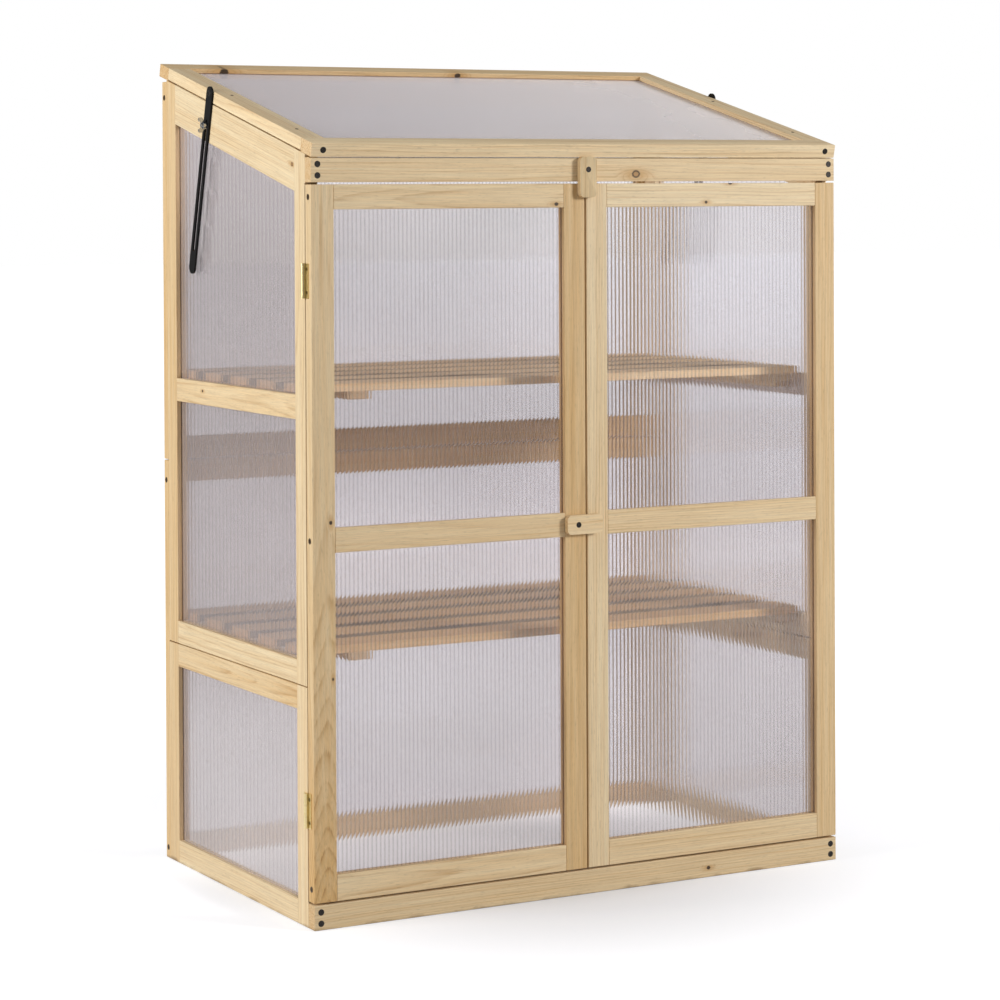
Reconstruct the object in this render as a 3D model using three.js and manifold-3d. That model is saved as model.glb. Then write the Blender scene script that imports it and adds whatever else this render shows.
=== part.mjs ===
// Wooden mini greenhouse: a pine cabinet glazed with twin-wall sheet.
// It has two side walls, a rear wall, two doors, a lift-up lid on slotted stays and two slatted shelves.
// Units are millimetres. While it is built, +X runs to the right along the front, +Y runs to the back and
// +Z is up, with zero at the front left corner on the ground. The last lines centre it on its footprint.
import * as THREE from 'three';
import { mergeVertices } from 'three/addons/utils/BufferGeometryUtils.js';
import Module from 'manifold-3d';

const wasm = await Module();
wasm.setup();

// Overall sizes
const width = 760;
const depth = 460;
const frontHeight = 926;
const lidSlope = THREE.MathUtils.degToRad(13.5);

// Pine stock
const stockWidth = 30;
const stockThickness = 17;
const rearThickness = 14;
const topBoardWidth = 50;
const doorBottomRailWidth = 32;

// Twin-wall sheet and the groove that holds it
const sheetThickness = 4;
const grooveDepth = 7;
const fitGap = 0.3;

// Levels of the side and rear walls
const sideSeamLevel = 290;
const shelfRailLevel = 640;
const rearSeamLevel = 530;
const rearTopDrop = 2;

// Doors
const doorGap = 2.5;
const doorBackGap = 0.5;
const doorMiddleShare = 0.504;

// Shelves and the strips that carry them
const slatCount = 5;
const slatWidth = 55;
const slatThickness = 10;
const shelfFrontSetback = 60;
const shelfGap = 2;
const battenWidth = 30;
const battenThickness = 10;
const battenLeftInset = 57;
const battenRightInset = 11;
const bearerReach = 12;
const bearerHeight = 20;
const bearerSetback = 50;

// Lid
const lidThickness = 17;
const lidRearOverhang = 10;
const lidGap = 0.3;

// Small brass hinges
const hingeLength = 42;
const leafWidth = 10;
const leafThickness = 1.2;
const barrelRadius = 2.7;
const pinRadius = 1;
const pinStandoff = 3;
const knuckleGap = 0.3;
const leafSplit = 0.25;
const knuckleCount = 3;
const upperHingeInset = 115.5;
const lowerHingeInset = 109.5;
const lidHingeInset = 140;
const roundSides = 20;

// Turn buttons
const buttonLength = 51;
const buttonWidth = 24;
const buttonThickness = 8;
const buttonCorner = 6;
const buttonPivotInset = 16;
const buttonGap = 0.8;

// Slotted stays and their wing bolts
const stayWidth = 18;
const stayThickness = 2.5;
const stayGap = 0.4;
const stayReach = 231;
const stayPivotSetback = 296.5;
const stayPivotDrop = 3.8;
const slotWidth = 6.6;
const slotStart = 35;
const slotEndInset = 21;
const boltRadius = 2.5;
const boltHoleRadius = 2.8;
const boltDrop = 26.5;
const boltHeadRadius = 6;
const boltHeadHeight = 2.5;
const boltTail = 2;
const nutRadius = 5;
const nutHeight = 5;
const wingReach = 7;
const wingRise = 5.5;
const wingTip = 2.6;
const wingThickness = 2;

// A cutting tool runs past the face that it cuts by this much
const overrun = 5;

// Materials
const pine = new THREE.MeshStandardMaterial({ color: 0xd9bf8e, roughness: 0.7, metalness: 0 });
const pineShade = new THREE.MeshStandardMaterial({ color: 0xc9ab77, roughness: 0.75, metalness: 0 });
const twinWall = new THREE.MeshStandardMaterial({
  color: 0xcdc9cf,
  roughness: 0.3,
  metalness: 0,
  transparent: true,
  opacity: 0.45,
});
const brass = new THREE.MeshStandardMaterial({ color: 0xb08d3c, roughness: 0.35, metalness: 1 });
const blackSteel = new THREE.MeshStandardMaterial({ color: 0x26262a, roughness: 0.5, metalness: 0.6 });
const zincSteel = new THREE.MeshStandardMaterial({ color: 0xb9bbbd, roughness: 0.35, metalness: 1 });

// Directions in which a flat outline is drawn and thickened
const alongX = new THREE.Matrix4().makeBasis(
  new THREE.Vector3(0, 1, 0),
  new THREE.Vector3(0, 0, 1),
  new THREE.Vector3(1, 0, 0),
);
const alongY = new THREE.Matrix4().makeBasis(
  new THREE.Vector3(1, 0, 0),
  new THREE.Vector3(0, 0, 1),
  new THREE.Vector3(0, -1, 0),
);

// Turns a geometry into a closed solid that can be cut and joined
function solidOf(geometry) {
  const bare = geometry.clone();
  bare.deleteAttribute('normal');
  bare.deleteAttribute('uv');
  const merged = mergeVertices(bare);
  return new wasm.Manifold(new wasm.Mesh({
    numProp: 3,
    vertProperties: new Float32Array(merged.attributes.position.array),
    triVerts: new Uint32Array(merged.index.array),
  }));
}

// Turns a closed solid back into a geometry
function geometryOf(solid) {
  const mesh = solid.getMesh();
  const geometry = new THREE.BufferGeometry();
  geometry.setAttribute('position', new THREE.BufferAttribute(new Float32Array(mesh.vertProperties), 3));
  geometry.setIndex(new THREE.BufferAttribute(new Uint32Array(mesh.triVerts), 1));
  geometry.computeVertexNormals();
  return geometry;
}

// A box from its lowest to its highest corner
function block(low, high) {
  const size = high.map((value, axis) => value - low[axis]);
  const middle = high.map((value, axis) => (value + low[axis]) / 2);
  return solidOf(new THREE.BoxGeometry(...size).translate(...middle));
}

// A flat outline thickened from zero up
function plate(outline, thickness) {
  return new THREE.ExtrudeGeometry(outline, {
    depth: thickness,
    bevelEnabled: false,
    curveSegments: roundSides,
  });
}

// A wall-shaped outline of (y, z) points, thickened along X from low to high
function sideSlab(points, [low, high]) {
  const outline = new THREE.Shape(points.map(([y, z]) => new THREE.Vector2(y, z)));
  return solidOf(plate(outline, high - low).applyMatrix4(alongX).translate(low, 0, 0));
}

// A cylinder along X between two places, on a (y, z) centre
function crossRod([y, z], radius, [low, high]) {
  const geometry = new THREE.CylinderGeometry(radius, radius, high - low, roundSides);
  return solidOf(geometry.rotateZ(-Math.PI / 2).translate((low + high) / 2, y, z));
}

// A cylinder along Z between two levels, on an (x, y) centre
function uprightRod([x, y], radius, [low, high]) {
  const geometry = new THREE.CylinderGeometry(radius, radius, high - low, roundSides);
  return solidOf(geometry.rotateX(Math.PI / 2).translate(x, y, (low + high) / 2));
}

// Adds one named piece to a group
function addPiece(group, name, solid, material) {
  const mesh = new THREE.Mesh(geometryOf(solid), material);
  mesh.name = name;
  group.add(mesh);
  return mesh;
}

// Joins a list of solids into one
function joined(solids) {
  return solids.reduce((whole, next) => whole.add(next));
}

const greenhouse = new THREE.Group();
const cabinet = new THREE.Group();
greenhouse.add(cabinet);

// The sheet lies in the middle of each frame's thickness
const sheetInset = (stockThickness - sheetThickness) / 2;
const sheetBack = sheetInset + sheetThickness;
const rearSheetInset = (rearThickness - sheetThickness) / 2;
const wallRear = depth - rearThickness;
const wallOpeningFront = stockThickness + stockWidth;
const wallOpeningRear = wallRear - stockWidth;

// Height of the lid's seat at a distance behind the front face
function seatLevel(y) {
  return frontHeight + y * Math.tan(lidSlope);
}

// A drop measured square to the slope, as a height
function steep(distance) {
  return distance / Math.cos(lidSlope);
}

// Stay pivot on the lid's side and wing bolt on the wall's top board.
// Both lie at one distance from the lid's hinge pin, so the stay turns half as far as the lid opens
// while the bolt slides along its slot.
const lidPin = new THREE.Vector2(
  depth + pinStandoff,
  seatLevel(depth + pinStandoff) + steep(lidGap - pinStandoff - fitGap),
);
const stayPivot = new THREE.Vector2(
  stayPivotSetback,
  seatLevel(stayPivotSetback) + steep(lidGap + lidThickness - stayPivotDrop),
);
const stayRadius = lidPin.distanceTo(stayPivot);
const boltLevel = seatLevel(stayPivotSetback) - boltDrop;
const stayBolt = new THREE.Vector2(
  lidPin.x - Math.sqrt(stayRadius ** 2 - (lidPin.y - boltLevel) ** 2),
  boltLevel,
);

// Side walls: an upper frame with a sloping top board stands on a square lower frame
function addSideWall(side, outerFace, inward) {
  const layer = (from, to) => [
    Math.min(outerFace + inward * from, outerFace + inward * to),
    Math.max(outerFace + inward * from, outerFace + inward * to),
  ];
  const box = (ys, zs, [from, to]) => {
    const [low, high] = layer(from, to);
    return block([low, ys[0], zs[0]], [high, ys[1], zs[1]]);
  };
  const fullThickness = [0, stockThickness];

  // Outline of the upper opening, grown outward by a distance
  const upperOpening = (grow) => {
    const front = wallOpeningFront - grow;
    const rear = wallOpeningRear + grow;
    const bottom = sideSeamLevel + stockWidth - grow;
    const top = (y) => seatLevel(y) - steep(topBoardWidth - grow);
    return [[front, bottom], [rear, bottom], [rear, top(rear)], [front, top(front)]];
  };
  const grooveLayer = [sheetInset - fitGap, sheetBack + fitGap];
  const upperGroove = sideSlab(upperOpening(grooveDepth + fitGap), layer(...grooveLayer));
  const stile = (front, rear) => sideSlab([
    [front, sideSeamLevel],
    [rear, sideSeamLevel],
    [rear, seatLevel(rear)],
    [front, seatLevel(front)],
  ], layer(...fullThickness)).subtract(upperGroove);
  const cutThrough = [-overrun, stockThickness + overrun];
  const boltHole = crossRod([stayBolt.x, stayBolt.y], boltHoleRadius, layer(...cutThrough));
  const topBoard = sideSlab([
    [wallOpeningFront, seatLevel(wallOpeningFront) - steep(topBoardWidth)],
    [wallOpeningRear, seatLevel(wallOpeningRear) - steep(topBoardWidth)],
    [wallOpeningRear, seatLevel(wallOpeningRear)],
    [wallOpeningFront, seatLevel(wallOpeningFront)],
  ], layer(...fullThickness)).subtract(upperGroove).subtract(boltHole);

  // The bottom rail has a strip along its inner face that carries the lower shelf
  const lowerShelfLevel = sideSeamLevel + stockWidth;
  const railRun = [wallOpeningFront, wallOpeningRear];
  const bearerRun = [wallOpeningFront + bearerSetback, wallOpeningRear];
  const bearerBack = stockThickness + bearerReach;
  const lowerBearerRise = [lowerShelfLevel - bearerHeight, lowerShelfLevel];
  const bottomRail = box(railRun, [sideSeamLevel, lowerShelfLevel], fullThickness)
    .subtract(upperGroove)
    .add(box(bearerRun, lowerBearerRise, [stockThickness, bearerBack]));

  // Halfway up, a bar outside the sheet and a strip inside it carry the upper shelf
  const glazingBar = box(railRun, [shelfRailLevel - stockWidth, shelfRailLevel], [0, sheetInset - fitGap]);
  const upperBearerRise = [shelfRailLevel - bearerHeight, shelfRailLevel];
  const bearer = box(bearerRun, upperBearerRise, [sheetBack + fitGap, bearerBack]);

  addPiece(cabinet, `${side}_wall_front_stile`, stile(stockThickness, wallOpeningFront), pine);
  addPiece(cabinet, `${side}_wall_rear_stile`, stile(wallOpeningRear, wallRear), pine);
  addPiece(cabinet, `${side}_wall_top_board`, topBoard, pine);
  addPiece(cabinet, `${side}_wall_bottom_rail`, bottomRail, pine);
  addPiece(cabinet, `${side}_wall_glazing_bar`, glazingBar, pine);
  addPiece(cabinet, `${side}_wall_shelf_bearer`, bearer, pineShade);
  addPiece(cabinet, `${side}_wall_upper_sheet`,
    sideSlab(upperOpening(grooveDepth), layer(sheetInset, sheetBack)), twinWall);

  const lowerOpening = (grow) => [
    [wallOpeningFront - grow, wallOpeningRear + grow],
    [stockWidth - grow, sideSeamLevel - stockWidth + grow],
  ];
  const lowerFrame = box([stockThickness, wallRear], [0, sideSeamLevel], fullThickness)
    .subtract(box(...lowerOpening(0), cutThrough))
    .subtract(box(...lowerOpening(grooveDepth + fitGap), grooveLayer));
  const lowerSheet = box(...lowerOpening(grooveDepth), [sheetInset, sheetBack]);
  addPiece(cabinet, `${side}_wall_lower_frame`, lowerFrame, pine);
  addPiece(cabinet, `${side}_wall_lower_sheet`, lowerSheet, twinWall);
}

// Rear wall: one glazed opening above the other, screwed over the ends of the side walls
function addRearWall() {
  const rearTop = seatLevel(wallRear) - rearTopDrop;
  const openings = {
    lower: [stockWidth, rearSeamLevel - stockWidth],
    upper: [rearSeamLevel + stockWidth, rearTop - stockWidth],
  };
  const cell = (name, grow, from, to) => block(
    [stockWidth - grow, wallRear + from, openings[name][0] - grow],
    [width - stockWidth + grow, wallRear + to, openings[name][1] + grow],
  );
  const sheetLayer = [rearSheetInset, rearSheetInset + sheetThickness];
  const grooveLayer = [sheetLayer[0] - fitGap, sheetLayer[1] + fitGap];
  let frame = block([0, wallRear, 0], [width, depth, rearTop]);
  for (const name of Object.keys(openings)) {
    frame = frame
      .subtract(cell(name, 0, -overrun, rearThickness + overrun))
      .subtract(cell(name, grooveDepth + fitGap, ...grooveLayer));
    addPiece(cabinet, `rear_wall_${name}_sheet`, cell(name, grooveDepth, ...sheetLayer), twinWall);
  }
  addPiece(cabinet, 'rear_wall_frame', frame, pine);
}

// Front rails: one above and one below the doors, screwed to the side walls
function addFrontRails() {
  addPiece(cabinet, 'front_bottom_rail', block([0, 0, 0], [width, stockThickness, stockWidth]), pine);
  addPiece(cabinet, 'front_top_rail',
    block([0, 0, frontHeight - stockWidth], [width, stockThickness, frontHeight]), pine);
}

// Doors: two stiles, two rails, one sheet in their grooves and a bar across its front
const doorBottom = stockWidth + doorGap;
const doorTop = frontHeight - stockWidth - doorGap;
const doorMiddle = doorBottom + (doorTop - doorBottom) * doorMiddleShare;
const doorBack = stockThickness - doorBackGap;
const doorWidth = (width - doorGap) / 2;

function addDoor(side, hingeEdge, inward) {
  const across = (from, to) => [
    Math.min(hingeEdge + inward * from, hingeEdge + inward * to),
    Math.max(hingeEdge + inward * from, hingeEdge + inward * to),
  ];
  const box = ([from, to], ys, zs) => {
    const [low, high] = across(from, to);
    return block([low, ys[0], zs[0]], [high, ys[1], zs[1]]);
  };
  const fullThickness = [0, doorBack];
  const openingSpan = (grow) => [stockWidth - grow, doorWidth - stockWidth + grow];
  const openingRise = (grow) => [doorBottom + doorBottomRailWidth - grow, doorTop - stockWidth + grow];
  const groove = box(
    openingSpan(grooveDepth + fitGap),
    [sheetInset - fitGap, sheetBack + fitGap],
    openingRise(grooveDepth + fitGap),
  );
  const stile = (from, to) => box([from, to], fullThickness, [doorBottom, doorTop]).subtract(groove);
  const rail = (bottom, top) => box(openingSpan(0), fullThickness, [bottom, top]).subtract(groove);
  addPiece(cabinet, `${side}_door_hinge_stile`, stile(0, stockWidth), pine);
  addPiece(cabinet, `${side}_door_meeting_stile`, stile(doorWidth - stockWidth, doorWidth), pine);
  addPiece(cabinet, `${side}_door_top_rail`, rail(doorTop - stockWidth, doorTop), pine);
  addPiece(cabinet, `${side}_door_bottom_rail`, rail(doorBottom, doorBottom + doorBottomRailWidth), pine);
  const barRise = [doorMiddle - stockWidth / 2, doorMiddle + stockWidth / 2];
  addPiece(cabinet, `${side}_door_glazing_bar`, box(openingSpan(0), [0, sheetInset - fitGap], barRise), pine);
  addPiece(cabinet, `${side}_door_sheet`,
    box(openingSpan(grooveDepth), [sheetInset, sheetBack], openingRise(grooveDepth)), twinWall);
}

// One small butt hinge, drawn flat: the leaves lie in the plane y = 0 with the pin along Z in front of it.
// The fixed leaf has the end knuckles and the pin; the moving leaf has the middle knuckle, bored for the pin.
function hingeLeaves() {
  const knuckle = hingeLength / knuckleCount;
  const half = hingeLength / 2;
  const barrel = (radius, low, high) => uprightRod([0, -pinStandoff], radius, [low, high]);
  const leaf = (direction) => block(
    [Math.min(leafSplit * direction, leafWidth * direction), -leafThickness, -half],
    [Math.max(leafSplit * direction, leafWidth * direction), 0, half],
  );
  const relief = barrelRadius + knuckleGap;
  const fixed = leaf(1)
    .subtract(barrel(relief, -knuckle / 2 - knuckleGap, knuckle / 2 + knuckleGap))
    .add(barrel(barrelRadius, -half, -knuckle / 2 - knuckleGap))
    .add(barrel(barrelRadius, knuckle / 2 + knuckleGap, half))
    .add(barrel(pinRadius, -half, half));
  const moving = leaf(-1)
    .subtract(barrel(relief, -half - overrun, -knuckle / 2))
    .subtract(barrel(relief, knuckle / 2, half + overrun))
    .add(barrel(barrelRadius, -knuckle / 2, knuckle / 2))
    .subtract(barrel(pinRadius + knuckleGap, -knuckle / 2 - overrun, knuckle / 2 + overrun));
  return { fixed, moving };
}

// Door hinges: one leaf on the wall's front stile, one on the door's edge, with the pin over the gap
function addDoorHinges(side, face, outward) {
  const pinSetback = stockThickness - doorBackGap / 2;
  const levels = { upper: doorTop - upperHingeInset, lower: doorBottom + lowerHingeInset };
  for (const [name, level] of Object.entries(levels)) {
    const turn = new THREE.Matrix4().makeBasis(
      new THREE.Vector3(0, 1, 0),
      new THREE.Vector3(-outward, 0, 0),
      new THREE.Vector3(0, 0, outward),
    ).setPosition(face, pinSetback, level);
    const { fixed, moving } = hingeLeaves();
    const place = turn.toArray();
    addPiece(cabinet, `${side}_door_${name}_hinge_wall_leaf`, fixed.transform(place), brass);
    addPiece(cabinet, `${side}_door_${name}_hinge_door_leaf`, moving.transform(place), brass);
  }
}

// Lid: a glazed frame in its own sloping plane, with zero on its seat at the front face
const lid = new THREE.Group();
lid.position.set(0, 0, frontHeight + steep(lidGap));
lid.rotation.x = lidSlope;
cabinet.add(lid);

function addLid() {
  const length = steep(depth + lidRearOverhang);
  const openingSpan = (grow) => [stockWidth - grow, width - stockWidth + grow];
  const openingRun = (grow) => [stockWidth - grow, length - stockWidth + grow];
  const box = (xs, ys, zs) => block([xs[0], ys[0], zs[0]], [xs[1], ys[1], zs[1]]);
  const fullThickness = [0, lidThickness];
  const inset = (lidThickness - sheetThickness) / 2;
  const groove = box(
    openingSpan(grooveDepth + fitGap),
    openingRun(grooveDepth + fitGap),
    [inset - fitGap, inset + sheetThickness + fitGap],
  );
  const rail = (xs, ys) => box(xs, ys, fullThickness).subtract(groove);
  const sideRun = [stockWidth + fitGap, length - stockWidth - fitGap];
  addPiece(lid, 'lid_front_rail', rail([0, width], [0, stockWidth]), pine);
  addPiece(lid, 'lid_rear_rail', rail([0, width], [length - stockWidth, length]), pine);
  addPiece(lid, 'lid_left_rail', rail([0, stockWidth], sideRun), pine);
  addPiece(lid, 'lid_right_rail', rail([width - stockWidth, width], sideRun), pine);
  addPiece(lid, 'lid_sheet',
    box(openingSpan(grooveDepth), openingRun(grooveDepth), [inset, inset + sheetThickness]), twinWall);
}

// Lid hinges: one leaf on the back of the rear wall, one under the lid's rear rail
function addLidHinges() {
  const places = { left: lidHingeInset, right: width - lidHingeInset };
  for (const [side, middle] of Object.entries(places)) {
    const wallTurn = new THREE.Matrix4().makeBasis(
      new THREE.Vector3(0, 0, -1),
      new THREE.Vector3(0, -1, 0),
      new THREE.Vector3(-1, 0, 0),
    ).setPosition(middle, depth, lidPin.y);
    const lidTurn = new THREE.Matrix4().makeBasis(
      new THREE.Vector3(0, Math.cos(lidSlope), Math.sin(lidSlope)),
      new THREE.Vector3(0, -Math.sin(lidSlope), Math.cos(lidSlope)),
      new THREE.Vector3(1, 0, 0),
    );
    const pinInLeaf = new THREE.Vector3(0, -pinStandoff, 0).applyMatrix4(lidTurn);
    lidTurn.setPosition(middle, lidPin.x - pinInLeaf.y, lidPin.y - pinInLeaf.z);
    const { fixed, moving } = hingeLeaves();
    addPiece(cabinet, `${side}_lid_hinge_wall_leaf`, fixed.transform(wallTurn.toArray()), brass);
    addPiece(cabinet, `${side}_lid_hinge_lid_leaf`, moving.transform(lidTurn.toArray()), brass);
  }
}

// Turn buttons: a flat wooden bar with round corners, turning on one screw near its end
function turnButton(centre, level, angle) {
  const cornerSide = buttonWidth / 2 - buttonCorner;
  const cornerLow = -buttonPivotInset + buttonCorner;
  const cornerHigh = buttonLength - buttonPivotInset - buttonCorner;
  const quarter = Math.PI / 2;
  const outline = new THREE.Shape();
  outline.absarc(cornerSide, cornerLow, buttonCorner, -quarter, 0);
  outline.absarc(cornerSide, cornerHigh, buttonCorner, 0, quarter);
  outline.absarc(-cornerSide, cornerHigh, buttonCorner, quarter, quarter * 2);
  outline.absarc(-cornerSide, cornerLow, buttonCorner, quarter * 2, quarter * 3);
  const geometry = plate(outline, buttonThickness);
  geometry.rotateZ(angle);
  geometry.applyMatrix4(alongY);
  geometry.translate(centre, -buttonGap, level);
  return solidOf(geometry);
}

function addTurnButtons() {
  addPiece(cabinet, 'top_turn_button',
    turnButton(width / 2, frontHeight - stockWidth / 2, Math.PI), pine);
  addPiece(cabinet, 'middle_turn_button',
    turnButton(doorWidth - stockWidth / 2, doorMiddle, -Math.PI / 2), pine);
}

// Stays: a flat bar with round ends, screwed to the lid's side and slotted for the wing bolt
function addStay(side, face, outward) {
  const half = stayWidth / 2;
  const outline = new THREE.Shape();
  outline.absarc(0, 0, half, 0, Math.PI);
  outline.absarc(0, -stayReach, half, Math.PI, Math.PI * 2);
  const slotRadius = slotWidth / 2;
  const slotEnd = stayReach - slotEndInset;
  const slot = new THREE.Path();
  slot.absarc(0, -slotStart - slotRadius, slotRadius, 0, Math.PI);
  slot.absarc(0, -slotEnd + slotRadius, slotRadius, Math.PI, Math.PI * 2);
  outline.holes.push(slot);
  const geometry = plate(outline, stayThickness);
  const lean = Math.atan2(stayBolt.x - stayPivot.x, stayPivot.y - stayBolt.y);
  geometry.rotateZ(lean);
  geometry.applyMatrix4(alongX);
  const inner = face + outward * stayGap;
  const low = Math.min(inner, inner + outward * stayThickness);
  geometry.translate(low, stayPivot.x, stayPivot.y);
  addPiece(cabinet, `${side}_stay`, solidOf(geometry), blackSteel);
}

// Wing bolts: a round-headed bolt through the wall's top board and the stay's slot, with a wing nut outside
function addWingBolt(side, face, outward) {
  const span = (from, to) => [
    Math.min(face + outward * from, face + outward * to),
    Math.max(face + outward * from, face + outward * to),
  ];
  const centre = [stayBolt.x, stayBolt.y];
  const nutStart = stayGap + stayThickness + fitGap;
  const nutEnd = nutStart + nutHeight;
  const wingRoot = nutStart + nutHeight / 2;
  const tipCentre = nutEnd + wingRise - wingTip;
  const wing = (up) => {
    const quarter = up * Math.PI / 2;
    const outline = new THREE.Shape();
    outline.moveTo(wingRoot, 0);
    outline.lineTo(nutEnd, 0);
    outline.lineTo(tipCentre, up * (wingReach - wingTip));
    outline.absarc(tipCentre, up * wingReach, wingTip, -quarter, quarter, up < 0);
    outline.lineTo(nutEnd, up * (wingReach + wingTip));
    outline.lineTo(wingRoot, up * nutRadius);
    outline.closePath();
    const geometry = plate(outline, wingThickness);
    geometry.translate(0, 0, -wingThickness / 2);
    const upright = new THREE.Matrix4().makeBasis(
      new THREE.Vector3(outward, 0, 0),
      new THREE.Vector3(0, 0, 1),
      new THREE.Vector3(0, -outward, 0),
    ).setPosition(face, stayBolt.x, stayBolt.y);
    return solidOf(geometry.applyMatrix4(upright));
  };
  const bolt = joined([
    crossRod(centre, boltRadius, span(-stockThickness - boltHeadHeight, nutEnd + boltTail)),
    crossRod(centre, boltHeadRadius, span(-stockThickness - boltHeadHeight, -stockThickness - fitGap)),
    crossRod(centre, nutRadius, span(nutStart, nutEnd)),
    wing(1),
    wing(-1),
  ]);
  addPiece(cabinet, `${side}_wing_bolt`, bolt, zincSteel);
}

// Shelves: slats across the cabinet, nailed to two battens underneath
function addShelf(name, level) {
  const left = stockThickness + shelfGap;
  const right = width - stockThickness - shelfGap;
  const front = shelfFrontSetback;
  const rear = wallRear - shelfGap;
  const pitch = (rear - front - slatWidth) / (slatCount - 1);
  const slats = Array.from({ length: slatCount }, (_, index) => block(
    [left, front + index * pitch, level],
    [right, front + index * pitch + slatWidth, level + slatThickness],
  ));
  const batten = (start) => block(
    [start, front, level - battenThickness],
    [start + battenWidth, rear, level],
  );
  const battens = [batten(left + battenLeftInset), batten(right - battenRightInset - battenWidth)];
  addPiece(cabinet, name, joined([...slats, ...battens]), pineShade);
}

addSideWall('left', 0, 1);
addSideWall('right', width, -1);
addRearWall();
addFrontRails();
addDoor('left', 0, 1);
addDoor('right', width, -1);
addDoorHinges('left', 0, -1);
addDoorHinges('right', width, 1);
addLid();
addLidHinges();
addTurnButtons();
addStay('left', 0, -1);
addStay('right', width, 1);
addWingBolt('left', 0, -1);
addWingBolt('right', width, 1);
addShelf('upper_shelf', shelfRailLevel);
addShelf('lower_shelf', sideSeamLevel + stockWidth);

// The finished part stands on the ground with its footprint centred
greenhouse.updateMatrixWorld(true);
const bounds = new THREE.Box3().setFromObject(greenhouse, true);
const middle = bounds.getCenter(new THREE.Vector3());
cabinet.position.set(-middle.x, -middle.y, -bounds.min.z);

export default greenhouse;
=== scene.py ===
"""Wooden mini greenhouse: a pine cabinet glazed with twin-wall sheet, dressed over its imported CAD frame."""
import math
import random

import bmesh
import bpy
from mathutils import Matrix, Vector


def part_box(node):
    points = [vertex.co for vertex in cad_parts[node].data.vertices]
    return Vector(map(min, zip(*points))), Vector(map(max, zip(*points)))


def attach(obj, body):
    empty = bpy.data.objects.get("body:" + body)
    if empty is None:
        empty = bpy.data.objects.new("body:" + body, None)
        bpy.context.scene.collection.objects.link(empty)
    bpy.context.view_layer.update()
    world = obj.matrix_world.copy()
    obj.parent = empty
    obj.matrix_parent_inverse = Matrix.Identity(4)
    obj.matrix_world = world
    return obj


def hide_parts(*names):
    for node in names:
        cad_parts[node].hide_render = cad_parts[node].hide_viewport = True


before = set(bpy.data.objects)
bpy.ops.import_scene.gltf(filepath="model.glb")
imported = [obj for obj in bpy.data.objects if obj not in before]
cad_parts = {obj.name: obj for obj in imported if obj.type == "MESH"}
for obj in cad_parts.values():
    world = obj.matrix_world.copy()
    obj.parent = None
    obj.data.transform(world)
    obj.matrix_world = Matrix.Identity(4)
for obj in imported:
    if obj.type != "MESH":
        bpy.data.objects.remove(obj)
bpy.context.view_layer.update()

# ------------------------------------------------------------
# Camera
# It stands before the cabinet's left front edge, a little under the lid, and looks along the front and the
# left side. It is held nearly level with its picture shifted down, so upright edges stay upright.
camera_place = Vector((-1.8869, -3.4214, 0.8857))
camera_yaw = 0.5051
camera_dip = 0.0125
camera_roll = 0.0045
focal_pixels = 2953.4
picture_pixels = 1000
horizon_row = 227.0
sensor_width = 36.0

level_right = Vector((math.cos(camera_yaw), -math.sin(camera_yaw), 0))
ahead = Vector((
    math.sin(camera_yaw) * math.cos(camera_dip),
    math.cos(camera_yaw) * math.cos(camera_dip),
    -math.sin(camera_dip),
))
level_down = ahead.cross(level_right)
camera_right = math.cos(camera_roll) * level_right + math.sin(camera_roll) * level_down
camera_down = math.cos(camera_roll) * level_down - math.sin(camera_roll) * level_right

camera_data = bpy.data.cameras.new("camera")
camera_data.sensor_width = sensor_width
camera_data.lens = focal_pixels * sensor_width / picture_pixels
camera_data.shift_y = (horizon_row - picture_pixels / 2) / picture_pixels
camera = bpy.data.objects.new("camera", camera_data)
camera.matrix_world = Matrix.Translation(camera_place) @ Matrix((
    (camera_right.x, -camera_down.x, -ahead.x),
    (camera_right.y, -camera_down.y, -ahead.y),
    (camera_right.z, -camera_down.z, -ahead.z),
)).to_4x4()
bpy.context.collection.objects.link(camera)
bpy.context.scene.camera = camera
bpy.context.scene.view_settings.view_transform = "Standard"

# ------------------------------------------------------------
# Studio
# A white paper floor that runs out of sight under a white sky, with a large soft lamp on the left and a
# smaller one on the right. The paper's glow is turned down under the cabinet and just before it, a painted
# shadow where less light comes.


def linear(hex_colour):
    """Turns an sRGB colour such as "#E8D2A6" into the linear colour that a shader takes."""
    parts = [int(hex_colour[place:place + 2], 16) / 255 for place in (1, 3, 5)]
    return [part / 12.92 if part <= 0.04045 else ((part + 0.055) / 1.055) ** 2.4 for part in parts] + [1.0]


def add_node(tree, kind, inputs=None, out=0, **settings):
    """Adds a node, sets it, fills its inputs with values or other nodes' outputs, and gives one output."""
    made = tree.nodes.new("ShaderNode" + kind)
    for name, value in settings.items():
        setattr(made, name, value)
    for key, value in (inputs or {}).items():
        if isinstance(value, bpy.types.NodeSocket):
            tree.links.new(value, made.inputs[key])
        else:
            made.inputs[key].default_value = value
    return made.outputs[out] if made.outputs else made


def start_material(name):
    """A new material, its node tree and its shader."""
    material = bpy.data.materials.new(name)
    material.use_nodes = True
    return material, material.node_tree, material.node_tree.nodes["Principled BSDF"]


def vary(tree, shader, share, colours, wear, shine):
    """Lets a surface's colour go from one to another by a share, and its roughness by its wear."""
    tint = add_node(
        tree, "Mix", {0: share, 6: linear(colours[0]), 7: linear(colours[1])}, data_type="RGBA", out=2)
    tree.links.new(tint, shader.inputs["Base Color"])
    roughness = add_node(tree, "MapRange", {"Value": wear, "To Min": shine[0], "To Max": shine[1]})
    tree.links.new(roughness, shader.inputs["Roughness"])


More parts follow.
